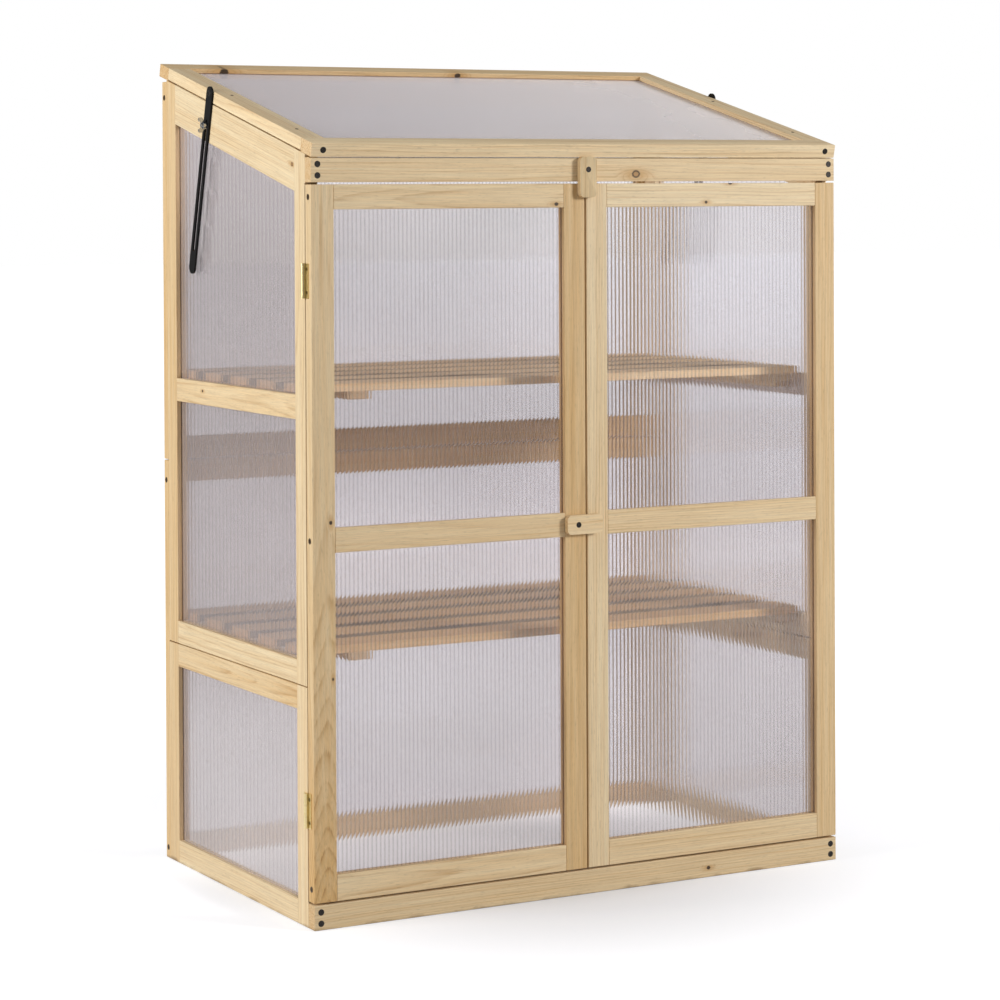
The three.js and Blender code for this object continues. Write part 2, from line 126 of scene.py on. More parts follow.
sky_fill = 0.27
sky_gloss = 0.15
sky = bpy.data.worlds.new("studio_sky")
bpy.context.scene.world = sky
sky.use_nodes = True
sky.node_tree.nodes.clear()
ray_kinds = ("Is Camera Ray", "Is Transmission Ray", "Is Glossy Ray")
seen, through_sheet, mirrored = [add_node(sky.node_tree, "LightPath", out=kind) for kind in ray_kinds]
mirrored = add_node(sky.node_tree, "Math", {0: mirrored, 1: sky_gloss}, operation="MULTIPLY")
white = add_node(sky.node_tree, "Math", {0: seen, 1: through_sheet}, operation="MAXIMUM")
white = add_node(sky.node_tree, "Math", {0: white, 1: mirrored}, operation="MAXIMUM")
sky_light = add_node(sky.node_tree, "MapRange", {"Value": white, "To Min": sky_fill, "To Max": 1.0})
sky_shader = add_node(sky.node_tree, "Background", {"Color": linear("#FFFFFF"), "Strength": sky_light})
add_node(sky.node_tree, "OutputWorld", {"Surface": sky_shader})

floor_reach = 30.0
floor_drop = 0.0005
shade_offset = 0.15
covered_width, covered_depth = 0.38, 0.23
# Glow at the cabinet's foot, nearby, far off and under it: the low glow at the foot and under it is a painted
# shadow
foot_shadow_glow, near_glow, far_glow, under_shadow_glow = 0.33, 0.7, 0.25, 0.63
floor_mesh = bpy.data.meshes.new("studio_floor")
floor_mesh.from_pydata(
    [(-floor_reach, -floor_reach, 0), (floor_reach, -floor_reach, 0),
     (floor_reach, floor_reach, 0), (-floor_reach, floor_reach, 0)], [], [(0, 1, 2, 3)])
floor = bpy.data.objects.new("studio_floor", floor_mesh)
floor.location.z = -floor_drop
bpy.context.collection.objects.link(floor)

# Matt white paper that glows a little by itself where the eye meets it, so it is lost in the white sky;
# round the cabinet's foot its glow is turned down as a painted shadow
floor_paper, tree, shader = start_material("studio_floor_paper")
shader.inputs["Base Color"].default_value = linear("#C4C4C8")
shader.inputs["Roughness"].default_value = 0.95
shader.inputs["Emission Color"].default_value = linear("#FAFCFF")
seen, through_sheet, mirrored = [add_node(tree, "LightPath", out=kind) for kind in ray_kinds]
place = add_node(tree, "TexCoord", out="Object")
from_front = add_node(tree, "VectorMath", {0: place, 1: (0.0, shade_offset, 0.0)}, operation="ADD")
from_front = add_node(tree, "VectorMath", {0: from_front}, operation="LENGTH", out="Value")
# Painted shadow: the glow is lowest just before the cabinet's middle and rises away from it
glow = add_node(tree, "MapRange", {
    "Value": from_front, "From Min": 0.05, "From Max": 0.52, "To Min": foot_shadow_glow, "To Max": near_glow},
    interpolation_type="SMOOTHSTEP")
farther = add_node(tree, "MapRange", {
    "Value": from_front, "From Min": 0.5, "From Max": 1.8, "To Max": far_glow},
    interpolation_type="SMOOTHSTEP")
glow = add_node(tree, "Math", {0: glow, 1: farther}, operation="ADD")
# Painted shadow under the cabinet, where the floor is also seen through the sheets
covered = (1 / covered_width, 1 / covered_depth, 0.0)
under = add_node(tree, "VectorMath", {0: place, 1: covered}, operation="MULTIPLY")
under = add_node(tree, "VectorMath", {0: under}, operation="LENGTH", out="Value")
under = add_node(tree, "MapRange", {
    "Value": under, "From Min": 0.75, "From Max": 1.25, "To Min": under_shadow_glow, "To Max": 1.0},
    interpolation_type="SMOOTHSTEP")
glow = add_node(tree, "Math", {0: glow, 1: under}, operation="MULTIPLY")
paper_edge = add_node(tree, "MapRange", {
    "Value": from_front, "From Min": 1.0, "From Max": 2.2, "To Min": 1.0, "To Max": 0.0})
mirrored = add_node(tree, "Math", {0: mirrored, 1: paper_edge}, operation="MULTIPLY")
for rays in (through_sheet, mirrored):
    seen = add_node(tree, "Math", {0: seen, 1: rays}, operation="MAXIMUM")
glow = add_node(tree, "Math", {0: glow, 1: seen}, operation="MULTIPLY")
tree.links.new(glow, shader.inputs["Emission Strength"])
floor_mesh.materials.append(floor_paper)

# Each lamp: name, place, point that it faces, edge in metres, watts, colour
lamps = [
    ("left_lamp", (-3.9, 0.1, 1.5), (0.0, 0.0, 0.5), 1.6, 106, "#FFFBF5"),
    ("right_lamp", (2.7, -3.3, 1.9), (0.0, 0.0, 0.5), 1.0, 112, "#FFFBF6"),
]
for name, place, target, edge, watts, colour in lamps:
    lamp_data = bpy.data.lights.new(name, "AREA")
    lamp_data.shape = "SQUARE"
    lamp_data.size = edge
    lamp_data.energy = watts
    lamp_data.color = linear(colour)[:3]
    lamp = bpy.data.objects.new(name, lamp_data)
    lamp.location = place
    lamp.rotation_euler = (Vector(target) - Vector(place)).to_track_quat("-Z", "Y").to_euler()
    bpy.context.collection.objects.link(lamp)

# Light may pass as many sheet faces as the cabinet puts in its way
bpy.context.scene.cycles.transparent_max_bounces = 40
bpy.context.scene.cycles.max_bounces = 16
bpy.context.scene.cycles.transmission_bounces = 14

# ------------------------------------------------------------
# Pine
# Planed softwood with no varnish, sawn into sticks. Every stick comes from its own place in the log: its
# points carry their place along, across and through the grain in millimetres, and their place from its two
# knots in knot radii. The years are drawn wide and the pores coarse, so that both show.
ring_width = 3.3
ring_unevenness = 7.0
good_spell = 13.0
late_wood_sharpness = 4.4
knot_bulge = 2.6
fibre_sway = 1.2
speck_size = 1.7
fibre_length = 55.0
fibre_width = 1.1
pore_length = 10.0
pore_width = 0.9
streak_length = 260.0
streak_width = 6.0
wander_length = 420.0
wander_width = 60.0
wander_reach = 15.0
eased_edge = 0.0008
bend_reach = 260.0
bend_step = 0.04
no_knot = Vector((900, 900, 900))
live_knots = ("front_top_rail_pine", "left_wall_top_board_pine")
log = random.Random(23)
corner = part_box("front_bottom_rail")[0]


def at(x, y, z):
    """A place given in millimetres from the cabinet's front left corner on the ground."""
    return corner + Vector((x, y, z)) / 1000


def pine_wood(name, pale, honey, ring, halo, knot, heart):
    """Planed pine: rings of late wood in pale early wood, which bend round the knots."""
    wood, tree, shader = start_material(name)
    grain = add_node(tree, "Attribute", attribute_name="grain", out="Vector")
    tone, warmth, figure, dead_heart, end = [
        add_node(tree, "Attribute", attribute_name=carried, out="Fac")
        for carried in ("tone", "warmth", "figure", "dead_heart", "end_grain")]

    # Slow wandering, fibres as wide as a pencil line, long soft streaks and short pores, all along the grain
    wander, fibres, streaks, pores = [
        add_node(tree, "TexNoise", {
            "Vector": add_node(
                tree, "VectorMath", {0: grain, 1: (1 / length, 1 / width, 1 / width)}, operation="MULTIPLY"),
            "Scale": 1.0, "Detail": detail}, out=output)
        for length, width, detail, output in (
            (wander_length, wander_width, 2.0, "Color"), (fibre_length, fibre_width, 3.0, "Fac"),
            (streak_length, streak_width, 2.0, "Fac"), (pore_length, pore_width, 1.0, "Fac"))]

    # The rings wander slowly along the stick and bend round the knots
    drift = add_node(tree, "VectorMath", {0: wander, 1: (0.5, 0.5, 0.5)}, operation="SUBTRACT")
    bent = add_node(tree, "VectorMath", {
        0: drift, 1: (0.0, wander_reach, wander_reach), 2: grain}, operation="MULTIPLY_ADD")
    across = add_node(tree, "VectorMath", {0: bent, 1: (0.0, 1.0, 1.0)}, operation="MULTIPLY")
    radius = add_node(tree, "VectorMath", {0: across}, operation="LENGTH", out="Value")
    knot_reach = halo_mask = None
    for place in ("knot_1", "knot_2"):
        offset = add_node(tree, "Attribute", attribute_name=place, out="Vector")
        flat = add_node(tree, "VectorMath", {0: offset, 1: (0.8, 1.0, 0.12)}, operation="MULTIPLY")
        reach = add_node(tree, "VectorMath", {0: flat}, operation="LENGTH", out="Value")
        long_flat = add_node(tree, "VectorMath", {0: offset, 1: (0.2, 0.55, 0.1)}, operation="MULTIPLY")
        long_reach = add_node(tree, "VectorMath", {0: long_flat}, operation="LENGTH", out="Value")
        near = add_node(tree, "MapRange", {
            "Value": long_reach, "From Min": 1.5, "From Max": 0.2}, interpolation_type="SMOOTHSTEP")
        radius = add_node(
            tree, "Math", {0: near, 1: ring_width * knot_bulge, 2: radius}, operation="MULTIPLY_ADD")
        if knot_reach is None:
            knot_reach, halo_mask = reach, near
        else:
            knot_reach = add_node(tree, "Math", {0: knot_reach, 1: reach}, operation="MINIMUM")
            halo_mask = add_node(tree, "Math", {0: halo_mask, 1: near}, operation="MAXIMUM")

    # Good and bad years are wide and narrow, and each darkens slowly and stops short at its dark end
    radius = add_node(tree, "Math", {0: fibres, 1: fibre_sway, 2: radius}, operation="MULTIPLY_ADD")
    age = add_node(tree, "Math", {0: radius, 1: 1 / good_spell}, operation="MULTIPLY")
    spell = add_node(
        tree, "TexNoise", {"W": age, "Scale": 1.0, "Detail": 1.0}, noise_dimensions="1D", out="Fac")
    radius = add_node(tree, "Math", {0: spell, 1: ring_unevenness, 2: radius}, operation="MULTIPLY_ADD")
    rings = add_node(tree, "Math", {0: radius, 1: ring_width}, operation="DIVIDE")
    year = add_node(tree, "Math", {0: rings}, operation="FRACT")
    darkening = add_node(tree, "Math", {0: year, 1: late_wood_sharpness}, operation="POWER")
    ending = add_node(tree, "MapRange", {
        "Value": year, "From Min": 1.0, "From Max": 0.84}, interpolation_type="SMOOTHSTEP")
    late = add_node(tree, "Math", {0: darkening, 1: ending}, operation="MULTIPLY")

    # Long streaks are bolder and more honeyed than others, and a knot darkens the wood about it
    strength = add_node(tree, "MapRange", {
        "Value": streaks, "From Min": 0.32, "From Max": 0.68, "To Min": 0.1, "To Max": 0.95})
    ring_amount = add_node(tree, "Math", {0: late, 1: strength}, operation="MULTIPLY")
    ring_amount = add_node(tree, "Math", {0: ring_amount, 1: figure}, operation="MULTIPLY", use_clamp=True)
    honeyed = add_node(tree, "MapRange", {
        "Value": streaks, "From Min": 0.25, "From Max": 0.75, "To Min": -0.18, "To Max": 0.22})
    honey_amount = add_node(tree, "Math", {0: warmth, 1: honeyed}, operation="ADD", use_clamp=True)
    colour = add_node(
        tree, "Mix", {0: honey_amount, 6: linear(pale), 7: linear(honey)}, data_type="RGBA", out=2)
    colour = add_node(tree, "Mix", {0: ring_amount, 6: colour, 7: linear(ring)}, data_type="RGBA", out=2)
    haloed = add_node(tree, "Math", {0: halo_mask, 1: 0.6}, operation="MULTIPLY")
    colour = add_node(tree, "Mix", {0: haloed, 6: colour, 7: linear(halo)}, data_type="RGBA", out=2)
    ragged = add_node(tree, "Math", {0: fibres, 1: 0.7, 2: -0.35}, operation="MULTIPLY_ADD")
    knot_reach = add_node(tree, "Math", {0: knot_reach, 1: ragged}, operation="ADD")
    rim = add_node(tree, "MapRange", {"Value": knot_reach, "From Min": 0.5, "From Max": 0.8})
    rim = add_node(tree, "Math", {0: rim, 1: dead_heart}, operation="MAXIMUM")
    knot_colour = add_node(tree, "Mix", {0: rim, 6: linear(heart), 7: linear(knot)}, data_type="RGBA", out=2)
    knot_mask = add_node(tree, "MapRange", {
        "Value": knot_reach, "From Min": 1.2, "From Max": 0.85}, interpolation_type="SMOOTHSTEP")
    colour = add_node(tree, "Mix", {0: knot_mask, 6: colour, 7: knot_colour}, data_type="RGBA", out=2)

    # Sawn ends are darker, with torn specks, and short pores and fibres shade the faces
    grey = add_node(tree, "Math", {0: end, 1: 0.3}, operation="MULTIPLY")
    colour = add_node(tree, "Mix", {0: grey, 6: colour, 7: linear(halo)}, data_type="RGBA", out=2)
    torn = add_node(tree, "VectorMath", {0: grain, "Scale": 1 / speck_size}, operation="SCALE")
    torn = add_node(tree, "TexNoise", {"Vector": torn, "Scale": 1.0, "Detail": 3.0}, out="Fac")
    torn = add_node(tree, "MapRange", {"Value": torn, "From Min": 0.52, "From Max": 0.66, "To Max": 0.75})
    torn = add_node(tree, "Math", {0: torn, 1: end}, operation="MULTIPLY")
    colour = add_node(tree, "Mix", {0: torn, 6: colour, 7: linear(heart)}, data_type="RGBA", out=2)
    streak = add_node(tree, "MapRange", {
        "Value": fibres, "From Min": 0.25, "From Max": 0.75, "To Min": 0.85, "To Max": 1.09})
    pores = add_node(tree, "MapRange", {
        "Value": pores, "From Min": 0.6, "From Max": 0.72, "To Min": 1.0, "To Max": 0.84})
    streak = add_node(tree, "Math", {0: streak, 1: pores}, operation="MULTIPLY")
    shade = add_node(tree, "Math", {0: streak, 1: tone}, operation="MULTIPLY")
    colour = add_node(tree, "VectorMath", {0: colour, "Scale": shade}, operation="SCALE")

    # The lowest few millimetres are soiled where the cabinet has stood on the ground
    place = add_node(tree, "TexCoord", out="Object")
    level = add_node(tree, "SeparateXYZ", {0: place}, out="Z")
    dirt = add_node(tree, "TexNoise", {"Vector": place, "Scale": 22.0, "Detail": 7.0}, out="Fac")
    dirt = add_node(tree, "Math", {0: dirt, 1: 0.02, 2: -0.0075}, operation="MULTIPLY_ADD")
    dirt = add_node(tree, "Math", {0: dirt, 1: level}, operation="SUBTRACT")
    dirt = add_node(tree, "MapRange", {"Value": dirt, "From Min": 0.0, "From Max": 0.005, "To Max": 0.7})
    colour = add_node(tree, "Mix", {0: dirt, 6: colour, 7: linear("#6A4A26")}, data_type="RGBA", out=2)
    tree.links.new(colour, shader.inputs["Base Color"])

    dullness = add_node(tree, "MapRange", {"Value": late, "To Min": 0.6, "To Max": 0.5})
    tree.links.new(dullness, shader.inputs["Roughness"])
    shader.inputs["IOR"].default_value = 1.5
    height = add_node(tree, "Math", {0: fibres, 1: late}, operation="ADD")
    bump = add_node(tree, "Bump", {"Height": height, "Strength": 0.3, "Distance": 0.0002})
    tree.links.new(bump, shader.inputs["Normal"])
    return wood


# Pale cream wood with soft honey rings and brown knots, dull but for a faint sheen along the late wood
planed_pine = pine_wood("planed_pine", "#F0DDB8", "#DDB67A", "#B78A50", "#C4934F", "#3E2A12", "#B98F5A")
unit_x, unit_y, unit_z = Vector((1, 0, 0)), Vector((0, 1, 0)), Vector((0, 0, 1))


def split_at(shape, point, way, clear=False):
    """Cuts every face along a plane, and may take away what lies beyond it."""
    bmesh.ops.bisect_plane(shape, geom=shape.verts[:] + shape.edges[:] + shape.faces[:], dist=1e-7,
                           plane_co=point, plane_no=way, clear_outer=clear)


def cut_from(node_name, cuts=()):
    """A CAD node's mesh to edit, cut back to one stick: each cut is a point and the way that falls off."""
    shape = bmesh.new()
    shape.from_mesh(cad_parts[node_name].data)
    bmesh.ops.remove_doubles(shape, verts=shape.verts, dist=1e-6)
    for point, off_way in cuts:
        split_at(shape, point, off_way, clear=True)
        shape.normal_update()
        # Faces of the neighbouring stick that lie in the cut itself
        left_over = [face for face in shape.faces if face.normal.dot(off_way) < -0.99
                     and abs((face.calc_center_median() - point).dot(off_way)) < 1e-6]
        bmesh.ops.delete(shape, geom=left_over, context="FACES")
        bmesh.ops.holes_fill(shape, edges=[edge for edge in shape.edges if edge.is_boundary], sides=0)
    return shape


def cut_step(shape, one, other):
    """Takes away what lies beyond both of two planes, each a point and the way that falls off."""
    for point, way in (one, other):
        split_at(shape, point, way)
    beyond = [face for face in shape.faces
              if all((face.calc_center_median() - point).dot(way) > 0 for point, way in (one, other))]
    bmesh.ops.delete(shape, geom=beyond, context="FACES")
    rim = [vert for vert in shape.verts if vert.is_boundary]
    corner_way = one[1].cross(other[1])
    for (point, way), (_, rest_way) in ((one, other), (other, one)):
        flat = [vert for vert in rim if abs((vert.co - point).dot(way)) < 1e-6]
        flat.sort(key=lambda vert: (vert.co.dot(corner_way), vert.co.dot(rest_way)))
        half = len(flat) // 2
        shape.faces.new(flat[:half] + flat[half:][::-1])
    bmesh.ops.recalc_face_normals(shape, faces=shape.faces)


def ease_edges(shape, reach, steps=2):
    """Joins the flat faces and rounds every sharp outer edge."""
    bmesh.ops.dissolve_limit(
        shape, angle_limit=math.radians(0.6), verts=shape.verts, edges=shape.edges)
    sharp = [edge for edge in shape.edges
             if len(edge.link_faces) == 2 and edge.is_convex and edge.calc_face_angle(0) > math.radians(25)]
    bmesh.ops.bevel(shape, geom=sharp, offset=reach, offset_type="OFFSET", segments=steps, profile=0.5,
                    affect="EDGES", clamp_overlap=True)


def join_rings(shape, lower, upper, material_index=0):
    """Joins two rings of points by a band of faces."""
    for step in range(len(lower)):
        face = shape.faces.new((lower[step - 1], lower[step], upper[step], upper[step - 1]))
        face.material_index = material_index


def add_piece(name, shape, material, body, slot, *replaced):
    """Makes an object of an edited mesh, paints it and lets it ride."""
    mesh = bpy.data.meshes.new(name)
    shape.to_mesh(mesh)
    shape.free()
    mesh.materials.append(material)
    piece = bpy.data.objects.new(name, mesh)
    bpy.context.collection.objects.link(piece)
    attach(piece, body)
    if replaced:
        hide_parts(*replaced)
    return piece


def add_stick(name, shape, along, face, body, replaced, knots=(), look=None, slot="pine", eased=False,
              bold=None):
    """One pine stick with its grain along one way and its broad face towards another.

    A look is its tone and warmth. A bold stick also has the lean of its grain, the depth of its pith, its
    warmth at the far end, and how strong its rings are at the near and the far end.
    """
    if not eased:
        ease_edges(shape, eased_edge)
    across = face.cross(along)
    ways = (along, across, face)
    spans = [[vert.co.dot(way) for vert in shape.verts] for way in ways]
    middle = [(min(span) + max(span)) / 2 for span in spans]
    low_end = min(spans[0])
    turn = log.uniform(0.15, 1.35)
    pith = log.uniform(45, 110)
    start = (log.uniform(0, 5000), pith * math.cos(turn) * log.choice((-1, 1)), pith * math.sin(turn))
    stick_tone, stick_warmth = log.uniform(0.97, 1.02), log.uniform(0.1, 0.35)
    lean = log.uniform(-0.02, 0.02)
    far_warmth, near_figure, far_figure = None, 1.0, 1.0
    if look:
        stick_tone, stick_warmth = look
    if bold:
        lean, pith, far_warmth, near_figure, far_figure = bold
        start = (start[0], 1.5, pith)
        for station in range(1, int((max(spans[0]) - low_end) / bend_step) + 1):
            split_at(shape, along * (low_end + station * bend_step), along)
    layers = shape.verts.layers
    grain, knot_1, knot_2 = [layers.float_vector.new(layer) for layer in ("grain", "knot_1", "knot_2")]
    tone, warmth, figure, dead = [
        layers.float.new(layer) for layer in ("tone", "warmth", "figure", "dead_heart")]
    for vert in shape.verts:
        vert[grain] = Vector([
            (vert.co.dot(way) - mid) * 1000 + begin for way, mid, begin in zip(ways, middle, start)])
        share = 1 - math.exp((low_end - vert.co.dot(along)) * 1000 / bend_reach)
        vert[grain].z += bend_reach * lean * share
        vert[tone] = stick_tone
        vert[warmth] = stick_warmth if far_warmth is None else (
            stick_warmth + (far_warmth - stick_warmth) * share)
        vert[figure] = near_figure + (far_figure - near_figure) * share
        vert[dead] = 0.0 if name in live_knots else 1.0
        for index, layer in enumerate((knot_1, knot_2)):
            if index < len(knots):
                place, size = knots[index]
                vert[layer] = Vector([(vert.co - place).dot(way) * 1000 / size for way in ways])
            else:
                vert[layer] = no_knot
    shape.normal_update()
    end_grain = shape.faces.layers.float.new("end_grain")
    for side_face in shape.faces:
        side_face[end_grain] = 1.0 if abs(side_face.normal.dot(along)) > 0.7 else 0.0
    return add_piece(name, shape, planed_pine, body, slot, *replaced)


# ------------------------------------------------------------
# Side walls
# Each is an upper frame with a sloping top board, screwed on a square lower frame. The sticks meet in butt
# joints: the stiles run through and the rails stand between them.
wall_depth = 446.0
stick_width = 30.0
board_thick = 17.0
seam_level = 290.0
seam_gap = 1.4
door_shadow = 18.3
door_foot, door_head = 31.0, 895.0
slope = math.radians(13.5)
down_slope = Vector((0, math.cos(slope), math.sin(slope)))
lid_up = Vector((0, -math.sin(slope), math.cos(slope)))
front_joint = at(0, board_thick + stick_width, 0)
rear_joint = at(0, wall_depth - stick_width, 0)
low_half = at(0, 0, seam_level / 2)
between = [(front_joint, -unit_y), (rear_joint, unit_y)]
above_seam = (at(0, 0, seam_level + seam_gap / 2), -unit_z)
below_seam = (at(0, 0, seam_level - seam_gap / 2), unit_z)
behind_door = (at(0, door_shadow, 0), -unit_y)
# Knots: place and radius in millimetres
wall_knots = {
    "left_wall_top_board": [(at(0, 53, 918), 2.4)],
    "left_wall_glazing_bar": [(at(0, 330, 628), 1.6)],
    "right_wall_top_board": [(at(760, 300, 960), 4.0)],
    "right_wall_lower_top_rail": [(at(760, 180, 276), 4.5)],
}
wall_figures = {
    "glazing_bar": (0.05, 16.0, 0.35, 1.2, 1.2),
    "top_rail": (-0.03, 12.0, 0.35, 1.5, 1.3),
}
wall_looks = {
    "left_wall_rear_stile": (0.97, 0.5),
    "left_wall_lower_rear_stile": (0.97, 0.45),
    "left_wall_glazing_bar": (0.99, 0.35),
    "left_wall_bottom_rail": (0.98, 0.15),
    "left_wall_lower_top_rail": (0.98, 0.55),
}
for side, outward in (("left", -1), ("right", 1)):
    face = unit_x * outward
    for part, along in (("front_stile", unit_z), ("rear_stile", unit_z), ("top_board", down_slope),
                        ("bottom_rail", unit_y), ("glazing_bar", unit_y), ("shelf_bearer", unit_y)):
        node_name = f"{side}_wall_{part}"
        stands_on_seam = part in ("front_stile", "rear_stile", "bottom_rail")
        shape = cut_from(node_name, [above_seam] if stands_on_seam else ())
        if part == "front_stile":
            cut_step(shape, behind_door, (at(0, 0, door_head), -unit_z))
        add_stick(f"{node_name}_pine", shape, along, face, "cabinet", [node_name],
                  wall_knots.get(node_name, ()), wall_looks.get(node_name),
                  "pine_inside" if part == "shelf_bearer" else "pine", bold=wall_figures.get(part))
    lower_name = f"{side}_wall_lower_frame"
    for part, along, cuts in (
        ("front_stile", unit_z, [(front_joint, unit_y)]),
        ("rear_stile", unit_z, [(rear_joint, -unit_y)]),
        ("top_rail", unit_y, between + [(low_half, -unit_z)]),
        ("bottom_rail", unit_y, between + [(low_half, unit_z)]),
    ):
        name = f"{side}_wall_lower_{part}"
        shape = cut_from(lower_name, cuts + [below_seam])
        if part == "front_stile":
            cut_step(shape, behind_door, (at(0, 0, door_foot), unit_z))
        add_stick(name, shape, along, face, "cabinet", [lower_name],
                  wall_knots.get(name, ()), wall_looks.get(name), bold=wall_figures.get(part))

# ------------------------------------------------------------
# Rear wall
# Two glazed frames of thinner pine, one on top of the other, that cover the rear ends of the side walls. The
# sticks meet in butt joints, screwed through the outer edges of the stiles.
cabinet_width = 760.0
rear_seam = 530.0
rear_name = "rear_wall_frame"
rear_top = (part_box(rear_name)[1].z - corner.z) * 1000
left_joint, right_joint = at(stick_width, 0, 0), at(cabinet_width - stick_width, 0, 0)
inside_joints = [(left_joint, -unit_x), (right_joint, unit_x)]
for level, low, high in (("lower", 0, rear_seam), ("upper", rear_seam, rear_top)):
    half = at(0, 0, (low + high) / 2)
    half_seam = seam_gap / 2
    this_frame = [(at(0, 0, low + half_seam), -unit_z)] if low else [(at(0, 0, high - half_seam), unit_z)]
    for part, along, cuts in (
        ("left_stile", unit_z, [(left_joint, unit_x)]),
        ("right_stile", unit_z, [(right_joint, -unit_x)]),
        ("top_rail", unit_x, inside_joints + [(half, -unit_z)]),
        ("bottom_rail", unit_x, inside_joints + [(half, unit_z)]),
    ):
        add_stick(f"rear_wall_{level}_{part}", cut_from(rear_name, this_frame + cuts), along, unit_y,
                  "cabinet", [rear_name], look=(0.99, 0.65))

# ------------------------------------------------------------
# Front rails
# One planed pine stick above the doors and one below them, screwed to the front edges of the side walls.
# The top one has a shallow rebate under the lid.
rebate_height = 0.0009
rebate_depth = 5.0
shape = cut_from("front_top_rail")
rail_height = max(vert.co.z for vert in shape.verts if vert.co.y < corner.y + 0.001)
cut_step(shape, (Vector((0, 0, rail_height - rebate_height)), unit_z), (at(0, rebate_depth, 0), -unit_y))
add_stick("front_top_rail_pine", shape, unit_x, -unit_y, "cabinet",
          ["front_top_rail"], [(at(454.6, 0, 905.2), 4.7)], (1.0, 0.3))
add_stick("front_bottom_rail_pine", cut_from("front_bottom_rail"), unit_x, -unit_y, "cabinet",
          ["front_bottom_rail"], [(at(560, 0, 12), 2.2)], (0.96, 0.35))

# ------------------------------------------------------------
# Doors
# Each is a light pine frame of two stiles and two rails, screwed through the outer edge of its hinge stile,
# with a bar across the middle of its sheet.
door_knots = {
    "right_door_top_rail": [(at(560, 0, 869), 1.8), (at(597, 0, 894), 2.4)],
    "left_door_top_rail": [(at(338, 0, 868), 2.2)],
    "left_door_hinge_stile": [(at(24, 0, 488), 2.0), (at(26, 0, 300), 1.4)],
}
door_looks = {
    "left_door_hinge_stile": (0.95, 1.0),
    "left_door_meeting_stile": (0.95, 0.75),
    "left_door_top_rail": (0.99, 0.3),
    "left_door_glazing_bar": (0.99, 0.4),
    "left_door_bottom_rail": (1.01, 0.3),
    "right_door_meeting_stile": (1.0, 0.2),
    "right_door_hinge_stile": (0.98, 0.58),
    "right_door_top_rail": (1.02, 0.08),
    "right_door_glazing_bar": (1.0, 0.3),
    "right_door_bottom_rail": (1.0, 0.3),
}
door_figures = {
    "left_door_hinge_stile": (0.2, 9.0, 0.3, 2.6, 0.7),
    "left_door_bottom_rail": (0.02, 18.0, 0.3, 1.5, 1.2),
    "left_door_top_rail": (-0.03, 22.0, 0.35, 1.0, 1.5),
}
for side in ("left", "right"):
    for part, along in (("hinge_stile", unit_z), ("meeting_stile", unit_z), ("top_rail", unit_x),
                        ("bottom_rail", unit_x), ("glazing_bar", unit_x)):
        node_name = f"{side}_door_{part}"
        add_stick(f"{node_name}_pine", cut_from(node_name), along, -unit_y, f"{side}_door", [node_name],
                  door_knots.get(node_name, ()), door_looks[node_name], bold=door_figures.get(node_name))

# ------------------------------------------------------------
# Lid
# A sloping pine frame round one large sheet: the front and rear rails run through and the side rails stand
# between them. It lies on the walls with a fine dark joint all round.
lid_knots = {"lid_rear_rail": [(at(80, 438, 1044), 5.0), (at(433, 438, 1045), 3.4)]}
front_rail_drop = 0.00025
side_rail_cut = 0.0014
for part, along, face in (("front_rail", unit_x, lid_up), ("rear_rail", unit_x, -down_slope),
                          ("left_rail", down_slope, lid_up), ("right_rail", down_slope, lid_up)):
    node_name = f"lid_{part}"
    shape = cut_from(node_name)
    underside = min(vert.co.dot(lid_up) for vert in shape.verts)
    if part == "front_rail":
        for vert in shape.verts:
            if vert.co.dot(lid_up) < underside + 1e-5:
                vert.co -= lid_up * front_rail_drop
    elif part != "rear_rail":
        shape.free()
        shape = cut_from(node_name, [(lid_up * (underside + side_rail_cut), -lid_up)])
    add_stick(f"{node_name}_pine", shape, along, face, "lid", [node_name],
              lid_knots.get(node_name, ()), (1.06, 0.5) if part == "rear_rail" else (1.05, 0.2))

# ------------------------------------------------------------
# Shelves
# Five slats nailed on two battens, laid loose on strips that are fixed to the side walls. Their tops are
# planed and pale. The foremost edge is lightened as painted light, and the sawn edges in the gaps are
# darkened as painted shadow, the shade between the slats. The upper shelf's tone is raised as painted
# light for the dim light inside.
slat_width = 55.0
slat_count = 5
slat_front = 60.0
slat_rear = 444.0
slat_clearance = 4.0
# Painted light on the foremost edge, painted shadow on the edges in the gaps
lit_edge_tone, gap_shadow_tone = 1.15, 0.32
tone_spread, warmth_spread = 0.04, 0.1
slat_pitch = (slat_rear - slat_front - slat_width) / (slat_count - 1)
# Each shelf: name, level, tone and warmth; the upper shelf's raised tone is painted light
for shelf, level, shelf_tone, shelf_warmth in (
        ("upper_shelf", 640.0, 1.1, 0.55), ("lower_shelf", 320.0, 0.93, 1.0)):
    top_of_battens = at(0, 0, level)
    for index in range(slat_count):
        front = slat_front + index * slat_pitch
        cuts = [(top_of_battens, -unit_z), (at(0, front - slat_clearance, 0), -unit_y),
                (at(0, front + slat_width + slat_clearance, 0), unit_y)]
        look = (shelf_tone + log.uniform(-tone_spread, tone_spread),
                shelf_warmth + log.uniform(-warmth_spread, warmth_spread))
        slat = add_stick(f"{shelf}_slat_{index + 1}", cut_from(shelf, cuts), unit_x, unit_z, "cabinet",
                         [shelf], look=look, slot="pine_inside")
        # Painted light on the first slat's front edge, painted shadow on the front edges of the others
        tones = slat.data.attributes["tone"].data
        fronts = [vert.co.y for vert in slat.data.vertices]
        for number, front_place in enumerate(fronts):
            if front_place < min(fronts) + 1e-5:
                tones[number].value *= lit_edge_tone if index == 0 else gap_shadow_tone
    for name, way in (("left", unit_x), ("right", -unit_x)):
        cuts = [(top_of_battens, unit_z), (at(cabinet_width / 2, 0, 0), way)]
        add_stick(f"{shelf}_{name}_batten", cut_from(shelf, cuts), unit_y, unit_z, "cabinet", [shelf],
                  slot="pine_inside")

